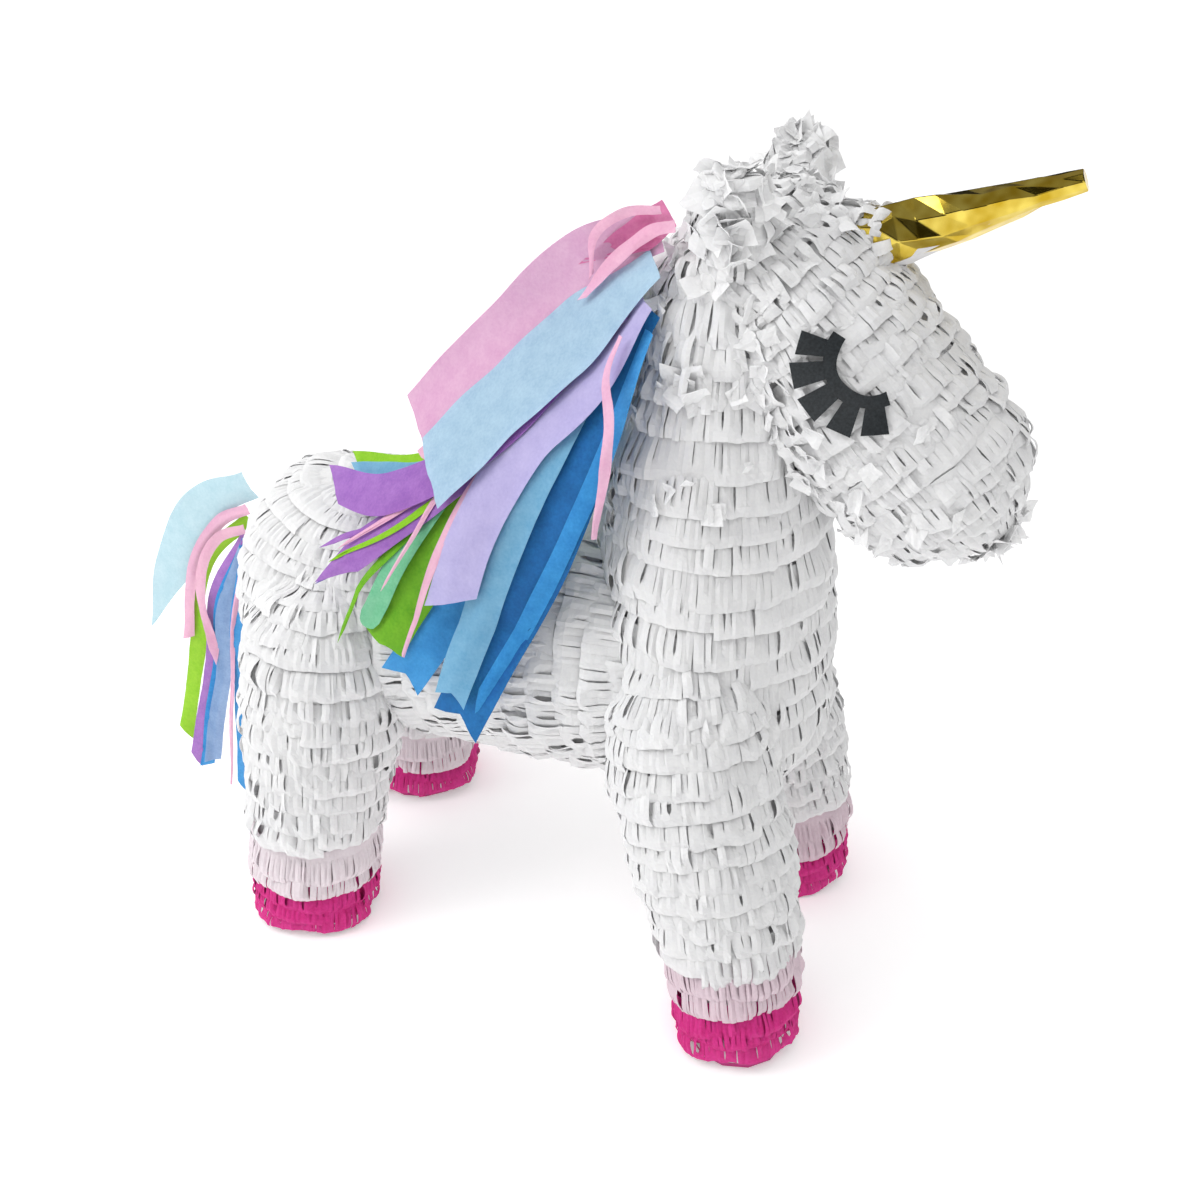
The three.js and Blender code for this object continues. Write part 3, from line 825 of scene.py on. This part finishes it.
def dress_leg(name, seed):
    """White rows down a leg, a pale pink band round it, and a magenta hoof."""
    low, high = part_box(f"{name}_sole")
    foot = (np.array(low) + np.array(high)) / 2
    front = name.startswith("front")
    hand = 1 if name.endswith("left") else -1
    top = place(106, 56 * hand, 214) if front else place(-131, 58 * hand, 218)
    nodes = [f"{name}_{what}" for what in ("leg_fringe", "pale_band", "hoof_fringe")]
    leg = Form(nodes, top, np.array((foot[0], foot[1], SOLE * MM)), (1, 0, 0), True)

    def fall_at(z):
        """How far down the leg's form this height is."""
        return float(np.interp(-z * MM, -leg.points[..., 2].mean(1), leg.fall))

    white = rows_on(leg, 20 * MM, fall_at(BAND_TOP + 2), LEG_ROW, rng=np.random.default_rng(seed))
    white = in_lengths(leg, white, LEG_ROW, seed + 3)
    sunk = (5.5 if front else 3) * MM
    dress_white(
        fringe(f"{name}_leg_tissue", leg, white, LEG_ROW, TOOTH, seed, ragged=0.42, loose=0.04, sunk=sunk),
        nodes[0],
    )
    band = rows_on(leg, fall_at(HOOF_TOP + 8), fall_at(HOOF_TOP), 12 * MM)
    dress(
        fringe(f"{name}_pale_tissue", leg, band, 13 * MM, 3.4 * MM, seed + 1, ragged=0.25, loose=0.85),
        PALE_PINK if front else PALER_PINK, "pale_pink_tissue", nodes[1],
    )
    hoof = rows_on(leg, fall_at(HOOF_EDGE), fall_at(0.6), 8.7 * MM)
    dress(
        fringe(
            f"{name}_hoof_tissue", leg, hoof, 9 * MM, 3.6 * MM, seed + 2, ragged=0.22, loose=0.3, reach=2.4
        ),
        MAGENTA, "magenta_tissue", nodes[2],
    )


for i, leg_name in enumerate(LEGS):
    dress_leg(leg_name, 41 + 5 * i)

# ---- ears
EAR_ROW = 9 * MM
for ear_side, hand in SIDES.items():
    ahead = 7 if hand > 0 else 0
    name = f"{ear_side}_ear"
    tip, root = place(115 + ahead, 57 * hand, 484), place(112 + ahead, 40 * hand, 430)
    ear = Form((f"{name}_fringe",), tip, root, (1, 0, 0), True)
    ear_rows = rows_on(ear, 7 * MM, ear.fall[-1], EAR_ROW)
    ear_rows = in_lengths(ear, ear_rows, EAR_ROW, 74 + hand, 20 * MM, 50 * MM, 0.25)
    dress_white(
        join(f"{name}_tissue", [
            scraps(f"{name}_scraps", ear, 44, 14 * MM, 81 + hand, 3 * MM, 0.75 * ear.fall[-1]),
            fringe(
                f"{name}_rows", ear, ear_rows, EAR_ROW, 7 * MM, 71 + hand,
                ragged=1.0, loose=0.3, over=4 * MM, lift=1.3, reach=2.4,
            ),
        ]),
        f"{name}_fringe",
    )

# ---- streamers
LAYER = 2.2  # millimetres from one streamer to the next one over it
THIN = 8  # a streamer narrower than this is a hair, which tapers
RIDGE_HEIGHT, RIDGE_RISE = 403, 0.765
STREAMER_COLOURS = {
    "bright_blue": (0x2074BE, 0x3E9CE0),
    "green": (0x4B9412, 0x78BA24),
    "lime": (0x70B812, 0x98D22C),
    "deep_blue": (0x0C4484, 0x1A69B4),
    "mint": (0x52AE7E, 0x86CBA2),
    "pale_blue": (0x5D9CC6, 0x86BBDA),
    "purple": (0x8350A8, 0xA973C2),
    "violet": (0x53389A, 0x6F52B4),
    "lavender": (0xA9A0D6, 0xC4BBE8),
    "dusty_pink": (0xC98CB6, 0xDBA9C8),
    "rose": (0xDE9ABC, 0xEFB9CF),
    "deep_rose": (0xCE5F98, 0xE284B0),
    "sky": (0x8FB2D0, 0xB2D2E6),
    "cyan": (0x9EC8D6, 0xC0DDE7),
    "slate_blue": (0x6C8DBE, 0x93B0D8),
}
TISSUES = {key: tissue_paper(f"{key}_tissue_paper", *tones) for key, tones in STREAMER_COLOURS.items()}
SHARED_SLOTS = {"violet": "purple_tissue", "deep_rose": "rose_tissue"}
nest = ripple(901)


def smooth_step(x, low, high):
    """0 up to low, 1 from high on, and a soft S between."""
    t = np.clip((x - low) / (high - low), 0, 1)
    return t * t * (3 - 2 * t)


def over_the_neck(x, z):
    """How far right of the middle the mane's sheets hang, beside the neck and then the back."""
    fall = smooth_step(RIDGE_HEIGHT + RIDGE_RISE * x - z, -10, 100)
    rise = np.clip((z - BARREL_Z) / 90, 0, 1)
    return -np.maximum(20 + 60 * fall, 90 * np.sqrt(1 - rise * rise))


def behind_the_rump(x, z):
    """How far right of the middle the tail's sheets hang."""
    return -8 + 0 * x


def curve_through(points, share):
    """A smooth line through the points, and its direction, at these shares of its length."""
    p = np.array(points, float)
    p = np.vstack([2 * p[0] - p[1], p, 2 * p[-1] - p[-2]])
    fine = []
    for i in range(1, len(p) - 2):
        t = np.linspace(0, 1, 24, endpoint=False)[:, None]
        a, b, c, d = p[i - 1], p[i], p[i + 1], p[i + 2]
        bend = (2 * a - 5 * b + 4 * c - d) * t**2 + (3 * b - a - 3 * c + d) * t**3
        fine.append(0.5 * (2 * b + (c - a) * t + bend))
    fine = np.vstack(fine + [p[-2][None]])
    arc = run_length(fine)
    here = share * arc[-1]
    at = np.column_stack([np.interp(here, arc, axis) for axis in fine.T])
    way = np.column_stack([np.interp(here, arc, np.gradient(axis, arc)) for axis in fine.T])
    return at, way / np.linalg.norm(way, axis=1, keepdims=True), arc[-1]


# how much shorter a streamer is at each place across its end, in widths
ENDS = {
    "flat": lambda s: 0.04 * np.sin(9 * s),
    "slant": lambda s: 0.75 * (s + 0.5),
    "slant_back": lambda s: 0.75 * (0.5 - s),
    "point": lambda s: 1.5 * np.abs(s) * 2,
    "side_point": lambda s: 2.2 * (s + 0.5),
    "round": lambda s: 0.5 - np.sqrt(np.maximum(0.25 - s * s, 0)),
    "fork": lambda s: 0.6 * (0.5 - np.abs(s)),
}


def streamer(name, sheet, node, seed, colour, layer, width, end, root, curl, line):
    """A strip of tissue along line, in the sheet that the mane or the tail hangs in. root is its
    width where it starts, as a share of the rest; curl is how far its end stands off; node is the
    solid it stands for, if any."""
    strip = flat_sheet(name, 8 if width > THIN else 4, 44)
    co = coordinates(strip.data)
    s, t = co[:, 0], 0.5 - co[:, 1]
    _, _, length = curve_through(line, np.array([0.0, 1.0]))
    t = t * (1 - ENDS[end](s) * width / length)
    at, way, _ = curve_through(line, t)
    rng = np.random.default_rng(seed + 300)
    own, wobble = ripple(seed + 400), ripple(seed + 500)
    half = width * (root + (1 - root) * smooth_step(t, 0, 0.35)) * (1 + 0.05 * own(t * 3, s * 0 + 1))
    if width < THIN:
        half = half * (1 - 0.6 * smooth_step(t, 0.6, 1.0))
    x = at[:, 0] - way[:, 1] * s * half
    z = at[:, 1] + way[:, 0] * s * half
    out = 2.6 * nest(x / 90, z / 90) + 0.7 * own(t * 2.2, s * 0.8) + 0.2 * wobble(t * 16, s * 3)
    fold = rng.uniform(-0.25, 0.25)
    out += (0.9 - 2.2 * np.abs(s - fold)) * min(1.0, width / 20) * (1 + 0.6 * own(t * 2, s * 0))
    out += curl * smooth_step(t, 0.55, 1.0) * (0.6 + 0.8 * s)
    y = sheet(x, z) - layer * LAYER - out
    points = np.column_stack([x, y, z]) * MM + np.array(ZERO)
    move_points(strip.data, points)
    give_thickness(strip, TISSUE)
    slot = SHARED_SLOTS.get(colour, f"{colour}_tissue")
    dress(strip, TISSUES[colour], slot, *([node] if node else []), smooth=True)
    choose(strip)
    bpy.ops.object.shade_smooth_by_angle(angle=math.radians(40))


MANE = [
    # name, colour, layer, width, end, root, curl, line of (x, z) in millimetres
    ("blue_tip", "bright_blue", 0, 26, "fork", 0.5, 2, [(64, 414), (33, 352), (-13, 271), (-64, 193)]),
    ("green_wide", "green", 2, 30, "flat", 0.5, 0, [(62, 418), (5, 352), (-37, 281), (-72, 220)]),
    ("lime", "lime", 1, 11, "slant", 0.7, 0, [(60, 428), (1, 366), (-58, 317), (-123, 298)]),
    ("deep_blue", "deep_blue", 3, 34, "fork", 0.5, 2,
     [(74, 421), (56, 376), (38, 318), (9, 250), (-24, 178)]),
    ("mint", "mint", 4, 14, "round", 0.6, 0, [(63, 420), (-9, 348), (-52, 288), (-81, 229)]),
    ("pale_blue", "pale_blue", 5, 21, "fork", 0.5, 2,
     [(68, 417), (38, 362), (12, 303), (-9, 248), (-25, 196)]),
    ("purple_fan", "purple", 6, 18, "point", 0.5, 0, [(64, 421), (-5, 343), (-60, 294), (-114, 250)]),
    ("lavender", "lavender", 7, 28, "slant", 0.35, 2,
     [(74, 425), (57, 393), (19, 355), (-8, 303), (-27, 247)]),
    ("purple", "purple", 8, 18, "slant", 0.5, 2, [(62, 420), (-5, 348), (-73, 303), (-130, 291)]),
    ("pink_wide", "dusty_pink", 9, 38, "flat", 0.6, 0, [(74, 458), (36, 437), (-12, 389), (-62, 337)]),
    ("rose_thin", "rose", 6.5, 7, "flat", 0.8, 2, [(66, 417), (4, 347), (-32, 284), (-52, 221)]),
    ("sky_wide", "sky", 10, 35, "flat", 0.4, 2, [(76, 443), (45, 413), (5, 374), (-44, 322)]),
    ("pink_hanging", "rose", 11, 6, "flat", 0.4, 0, [(66, 411), (63, 394), (71, 370), (66, 316)]),
    ("pink_curl", "rose", 12, 5, "slant", 0.8, 0, [(77, 468), (58, 465), (42, 452), (39, 429)]),
]
MANE_HAIRS = [
    ("purple_tip", "purple", 5.6, 6, "point", 0.8, 1,
     [(62, 420), (0, 350), (-50, 303), (-85, 281), (-118, 265)]),
    ("violet_hair", "violet", 5.0, 4.5, "point", 0.8, 1, [(62, 420), (0, 345), (-55, 290), (-115, 248)]),
    ("lime_hair", "lime", 6.5, 4, "point", 0.8, 1, [(62, 420), (-2, 348), (-55, 295), (-109, 260)]),
    ("rose_tip", "rose", 7.4, 4.5, "point", 0.8, 1, [(62, 420), (0, 354), (-50, 308), (-105, 267)]),
    ("green_curl", "green", 4.5, 6, "point", 0.8, 1,
     [(60, 418), (-5, 345), (-60, 282), (-84, 254), (-90, 238), (-96, 219)]),
    ("rose_hair", "rose", 6.8, 4, "point", 0.8, 1,
     [(66, 418), (8, 360), (-34, 316), (-51, 286), (-67, 256)]),
    ("blue_back", "pale_blue", 1.6, 9, "slant", 0.8, 0,
     [(60, 424), (2, 360), (-50, 318), (-91, 303), (-122, 294)]),
    ("pink_behind", "rose", 7.6, 10, "slant", 0.8, 0, [(60, 424), (3, 373), (-40, 339), (-58, 322)]),
    ("rose_upper", "rose", 12.6, 7, "slant", 0.8, 0, [(86, 462), (72, 457), (52, 440), (34, 418)]),
    ("blue_edge", "bright_blue", 3.6, 10, "point", 0.6, 0,
     [(78, 412), (66, 360), (45, 305), (12, 235), (-10, 190)]),
    ("deep_rose", "deep_rose", 9.6, 18, "side_point", 0.8, 0, [(80, 466), (64, 453), (46, 437), (36, 428)]),
]
TAIL = [
    ("cyan_wide", "cyan", 0, 32, "side_point", 0.6, 0,
     [(-212, 262), (-247, 243), (-277, 200), (-299, 130)]),
    ("lime", "lime", 1, 12, "slant_back", 0.8, 0, [(-215, 238), (-252, 202), (-270, 137), (-292, 52)]),
    ("pink", "rose", 2, 9, "slant", 0.8, 0, [(-214, 246), (-240, 231), (-262, 196), (-277, 135)]),
    ("purple", "purple", 3, 11, "slant_back", 0.8, 0, [(-216, 228), (-243, 180), (-263, 101), (-285, 32)]),
    ("slate_blue", "slate_blue", 4, 12, "slant", 0.8, 0,
     [(-217, 218), (-238, 166), (-251, 105), (-270, 35)]),
    ("long_blue", "bright_blue", 5, 14, "slant_back", 0.8, 0,
     [(-215, 208), (-227, 152), (-235, 78), (-241, 18)]),
]
TAIL_HAIRS = [
    ("rose_edge", "rose", 5.6, 4, "flat", 0.9, 0, [(-216, 212), (-232, 149), (-244, 82), (-253, 24)]),
    ("pink_loop", "rose", 4.5, 8, "point", 0.8, 0,
     [(-214, 234), (-237, 223), (-251, 198), (-253, 159), (-252, 124)]),
    ("blue_low", "bright_blue", 3.5, 10, "slant", 0.8, 0,
     [(-216, 224), (-240, 170), (-257, 101), (-276, 30)]),
]
for part, sheet, strips, has_solids in (
    ("mane", over_the_neck, MANE, True), ("mane", over_the_neck, MANE_HAIRS, False),
    ("tail", behind_the_rump, TAIL, True), ("tail", behind_the_rump, TAIL_HAIRS, False),
):
    for i, (strip_name, *look) in enumerate(strips):
        name = f"{part}_{strip_name}"
        streamer(f"{name}_strip", sheet, name if has_solids else None, i + 20 * len(strips), *look)

# ---- horn
HORN_PITCH = math.radians(21.5)
HORN_SIDES, HORN_RINGS = 9, 12
HORN_FORWARD = np.array((math.cos(HORN_PITCH), 0, math.sin(HORN_PITCH)))
HORN_UP = np.array((-math.sin(HORN_PITCH), 0, math.cos(HORN_PITCH)))
HORN_FOOT = np.array((150, 0, 441))
FOIL_START, FOIL_LENGTH = -3, 130.5  # along the horn, in millimetres
FOIL_PLACES, FOIL_RADII = (-4, 0, 38, 118, 129), (19.6, 19.6, 16.6, 6.0, 5.6)
FOIL_TWIST = 0.9


def on_horn(along):
    """A point of the horn's middle line, by millimetres from its foot."""
    return place(*(HORN_FOOT + HORN_FORWARD * along))


def roll_horn():
    """The foil is rolled into a cone and crumpled."""
    deselect_all()
    bpy.ops.mesh.primitive_cylinder_add(vertices=HORN_SIDES, radius=1, depth=1, end_fill_type="NGON")
    horn = bpy.context.object
    horn.name = "horn_gold_foil"
    edit(horn)
    for k in range(1, HORN_RINGS):
        bpy.ops.mesh.select_all(action="SELECT")
        bpy.ops.mesh.bisect(plane_co=(0, 0, k / HORN_RINGS - 0.5), plane_no=(0, 0, 1))
    bpy.ops.mesh.select_all(action="SELECT")
    bpy.ops.mesh.quads_convert_to_tris(quad_method="SHORTEST_DIAGONAL", ngon_method="BEAUTY")
    object_mode()
    co = coordinates(horn.data)
    rng = np.random.default_rng(77)
    share = co[:, 2] + 0.5
    angle = np.arctan2(co[:, 1], co[:, 0]) + FOIL_TWIST * share
    along = FOIL_START + FOIL_LENGTH * share
    radius = np.interp(along, FOIL_PLACES, FOIL_RADII)
    between = (share > 0.001) & (share < 0.999)  # the two ends stay round and flat
    radius = radius + np.where(between, 0.07 * radius * rng.normal(0, 1, len(co)), 0)
    radius *= 1 + 0.07 * np.cos(2 * angle + 1.0) + 0.05 * np.cos(3 * angle + 5 * share)
    angle = angle + np.where(between, rng.normal(0, 0.07, len(co)), 0)
    along = along + np.where(between, rng.normal(0, 1.3, len(co)), 0)
    high, wide = radius * np.sin(angle), radius * np.cos(angle)
    offsets = np.outer(along, HORN_FORWARD) + np.outer(high, HORN_UP) + np.outer(wide, (0, 1, 0))
    move_points(horn.data, on_horn(0) + offsets * MM)
    bevel = horn.modifiers.new("worn creases", "BEVEL")
    bevel.width = 0.5 * MM
    bevel.segments = 2
    bevel.limit_method = "ANGLE"
    bevel.angle_limit = math.radians(8)
    apply_modifier(horn, bevel)
    edit(horn)
    bpy.ops.mesh.select_all(action="SELECT")
    bpy.ops.mesh.normals_make_consistent(inside=False)
    object_mode()
    dress(horn, GOLD, "gold_foil", "horn_foil")


roll_horn()

foot = Form(("horn_foil",), on_horn(40), on_horn(-2), HORN_UP)
collar_rows = [(fall * MM, math.pi, 3 * math.pi) for fall in (12, 19, 26, 33)]
dress_white(fringe(
    "horn_collar_tissue", foot, collar_rows, 9 * MM, 4.6 * MM, 91, ragged=0.8, loose=0.3, lift=1.2
))

# ---- eyelashes
LASH_MIDDLE = (188.5, 408.5)
BAND_ANGLES, BAND_RADII = np.radians((150, 294)), (17, 23.5)
LASH_ROOT = 22  # lashes start at this radius, under the band
LASHES = ((170, 36.5, 10.5), (195, 39, 12), (222, 39.5, 12.5), (250, 38, 11.5), (277, 36, 12))
OFF_FACE = np.array((0.15, 1, 0.1))  # the way out from the right or left face, with y to that side


def head_skin(x, z, hand):
    """The head's smooth outer face beside these places in its middle plane."""
    rows, cols = head.points.shape[:2]
    index = np.arange(rows * cols).reshape(rows, cols)
    quads = [
        (index[i, j], index[i + 1, j], index[i + 1, (j + 1) % cols], index[i, (j + 1) % cols])
        for i in range(rows - 1) for j in range(cols)
    ]
    tree = BVHTree.FromPolygons([Vector(p) for p in head.points.reshape(-1, 3)], quads)
    starts = [Vector(place(a, 200 * hand, b)) for a, b in zip(x, z)]
    return np.array([tree.ray_cast(start, Vector((0, -hand, 0)))[0] for start in starts])


def cut_lash(side, hand):
    """A curved band of black paper with square lashes, pasted over the fringe."""
    pieces = []

    def paste(columns, shape):
        """One piece of paper; shape gives x, z and height off the face across and up the piece."""
        piece = flat_sheet(f"{side}_lash_{len(pieces)}", columns, 5)
        co = coordinates(piece.data)
        x, z, lift = shape(co[:, 0] + 0.5, co[:, 1] + 0.5)
        face = head_skin(LASH_MIDDLE[0] + x, LASH_MIDDLE[1] + z, hand)
        move_points(piece.data, face + np.outer(lift * MM, OFF_FACE * (1, hand, 1)))
        give_thickness(piece, 0.5 * MM)
        pieces.append(piece)

    def band(u, v):
        angle = BAND_ANGLES[0] + (BAND_ANGLES[1] - BAND_ANGLES[0]) * u
        r = BAND_RADII[0] + (BAND_RADII[1] - BAND_RADII[0]) * v + 0.6 * np.sin(5 * angle) * (v - 0.5)
        return r * np.cos(angle), r * np.sin(angle), 1.6 + 0 * u

    paste(26, band)
    for turn, reach_out, wide in LASHES:
        along = np.array((math.cos(math.radians(turn)), math.sin(math.radians(turn))))

        def lash(u, v):
            out = LASH_ROOT + (reach_out - LASH_ROOT) * v
            spread = (u - 0.5) * wide * (0.7 + 0.4 * v)
            x, z = out * along[0] - spread * along[1], out * along[1] + spread * along[0]
            return x, z, 1.2 + 1.8 * v * v

        paste(4, lash)
    dress(join(f"{side}_black_eyelash", pieces), BLACK, "black_paper", f"{side}_eyelash")


for lash_side, hand in SIDES.items():
    cut_lash(lash_side, hand)

# ---- card that stays as the part has it
LINER, SOLE_LINER = 0xE6E5E6, 0xC94C8C
for node_name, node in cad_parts.items():
    if node_name.endswith(("_shell", "_leg_tube", "_sole", "_ear_card", "_cone", "fill_flap")):
        low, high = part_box("body_shell" if node_name == "fill_flap" else node_name)
        pasted = SOLE_LINER if node_name.endswith("_sole") else LINER
        node.data.materials.clear()
        node.data.materials.append(
            corrugated_card(f"corrugated_card_{node_name}", (low + high) / 2, pasted)
        )

# ---- floor and light
deselect_all()
bpy.ops.mesh.primitive_plane_add(size=40)
floor = bpy.context.object
floor.name = "floor"
floor_material, _, _ = new_material("white_studio_floor", {
    "Roughness": 0.9, "Base Color": linear(0xF8F8F8),
    "Emission Color": linear(0xFFFFFF), "Emission Strength": 0.28,
})
floor.data.materials.append(floor_material)
floor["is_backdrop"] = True


def add_light(name, kind, energy, location, target, size):
    """A lamp that points at target; size is a disk's width in metres, or a sun's in radians."""
    data = bpy.data.lights.new(name, kind)
    data.energy = energy
    if kind == "SUN":
        data.angle = size
    else:
        data.shape = "DISK"
        data.size = size
    light = bpy.data.objects.new(name, data)
    light.location = location
    light.rotation_euler = (Vector(target) - Vector(location)).to_track_quat("-Z", "Y").to_euler()
    bpy.context.scene.collection.objects.link(light)
    return light


middle = (CAD_LOW + CAD_HIGH) / 2
add_light("key", "AREA", energy=7, location=(-0.9, -0.75, 1.15), target=middle, size=0.8)
sky = add_light(
    "sky", "SUN", energy=1.42, location=(-0.3, -0.3, 1.7), target=(0, 0, 0), size=math.radians(90)
)
sky.visible_glossy = False
world = bpy.data.worlds.new("studio")
bpy.context.scene.world = world
world.use_nodes = True
sky_tree = world.node_tree
sky_place = add_node(sky_tree, "TexCoord").outputs["Generated"]
sky_height = add_node(sky_tree, "SeparateXYZ", inputs={0: sky_place}).outputs["Z"]
# what the foil mirrors, as (height, grey): pale screens, a dark gap, and a softer ceiling over it
MIRRORED = ((0.03, 0.52), (0.12, 0.015), (0.42, 0.02), (0.58, 0.30))
SEEN_GREY, LIT_GREY = 0.98, 0.48  # the backdrop, and what lights the matt paper
mirrored = add_node(sky_tree, "ValToRGB", inputs={"Fac": sky_height})
for i, (height, grey) in enumerate(MIRRORED):
    stop = mirrored.color_ramp.elements[i] if i < 2 else mirrored.color_ramp.elements.new(height)
    stop.position = height
    stop.color = (grey,) * 3 + (1,)
ray = add_node(sky_tree, "LightPath").outputs
plain = add_node(
    sky_tree, "Mix", {"data_type": "RGBA"},
    {"Factor": ray["Is Camera Ray"], 6: (LIT_GREY,) * 3 + (1,), 7: (SEEN_GREY,) * 3 + (1,)},
)
sky_colour = add_node(
    sky_tree, "Mix", {"data_type": "RGBA"},
    {"Factor": ray["Is Glossy Ray"], 6: plain.outputs[2], 7: mirrored.outputs["Color"]},
)
sky_tree.links.new(sky_colour.outputs[2], sky_tree.nodes["Background"].inputs["Color"])
sky_tree.nodes["Background"].inputs["Strength"].default_value = 1.0
bpy.context.scene.view_settings.view_transform = "Standard"

low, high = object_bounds()
